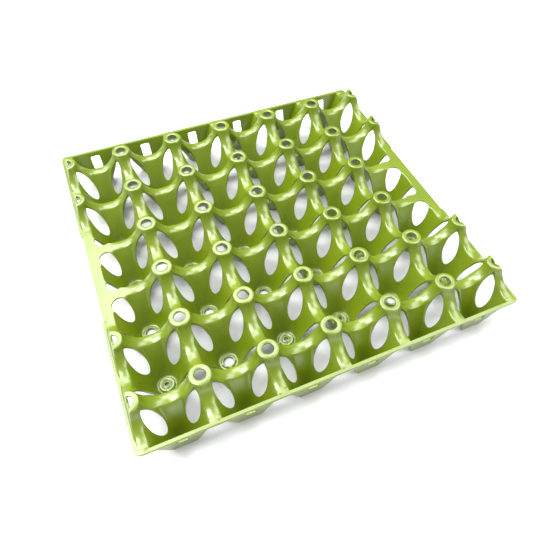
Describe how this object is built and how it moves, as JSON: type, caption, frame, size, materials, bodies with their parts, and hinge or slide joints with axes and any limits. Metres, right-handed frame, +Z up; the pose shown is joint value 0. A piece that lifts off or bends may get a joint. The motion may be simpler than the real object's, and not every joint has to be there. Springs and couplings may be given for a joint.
{
  "type": "egg tray",
  "caption": "Open square tray of reusable plastic with rows of conical egg cups, hollow stacking posts between them, pointed wall openings and a thin flat rim.",
  "frame": {"origin": "under the middle of the tray, on the plane that its cup floors stand on", "axes": "+Z up, +X along the longer rows of cups from left to right, +Y from front to rear"},
  "size_m": [0.2988, 0.3008, 0.048],
  "materials": {
    "tray_plastic": "glossy lime green polypropylene, as moulded"
  },
  "bodies": {
    "root": {"deck_row_a_left": "tray_plastic", "deck_row_a_right": "tray_plastic", "deck_row_b_left": "tray_plastic", "deck_row_b_right": "tray_plastic", "deck_row_c_left": "tray_plastic", "deck_row_c_right": "tray_plastic", "deck_row_d_left": "tray_plastic", "deck_row_d_right": "tray_plastic", "deck_row_e_left": "tray_plastic", "deck_row_e_right": "tray_plastic", "deck_row_f_left": "tray_plastic", "deck_row_f_right": "tray_plastic", "cup_r1_c1": "tray_plastic", "cup_r1_c2": "tray_plastic", "cup_r1_c3": "tray_plastic", "cup_r1_c4": "tray_plastic", "cup_r1_c5": "tray_plastic", "cup_r1_c6": "tray_plastic", "cup_r2_c1": "tray_plastic", "cup_r2_c2": "tray_plastic", "cup_r2_c3": "tray_plastic", "cup_r2_c4": "tray_plastic", "cup_r2_c5": "tray_plastic", "cup_r2_c6": "tray_plastic", "cup_r3_c1": "tray_plastic", "cup_r3_c2": "tray_plastic", "cup_r3_c3": "tray_plastic", "cup_r3_c4": "tray_plastic", "cup_r3_c5": "tray_plastic", "cup_r3_c6": "tray_plastic", "cup_r4_c1": "tray_plastic", "cup_r4_c2": "tray_plastic", "cup_r4_c3": "tray_plastic", "cup_r4_c4": "tray_plastic", "cup_r4_c5": "tray_plastic", "cup_r4_c6": "tray_plastic", "cup_r5_c1": "tray_plastic", "cup_r5_c2": "tray_plastic", "cup_r5_c3": "tray_plastic", "cup_r5_c4": "tray_plastic", "cup_r5_c5": "tray_plastic", "cup_r5_c6": "tray_plastic", "rear_pocket_1": "tray_plastic", "front_pocket_1": "tray_plastic", "rear_pocket_2": "tray_plastic", "front_pocket_2": "tray_plastic", "rear_pocket_3": "tray_plastic", "front_pocket_3": "tray_plastic", "rear_pocket_4": "tray_plastic", "front_pocket_4": "tray_plastic", "rear_pocket_5": "tray_plastic", "front_pocket_5": "tray_plastic", "rear_pocket_6": "tray_plastic", "front_pocket_6": "tray_plastic", "rim_rear": "tray_plastic", "rim_front": "tray_plastic", "rim_right": "tray_plastic", "rim_left": "tray_plastic"}
  },
  "joints": []
}
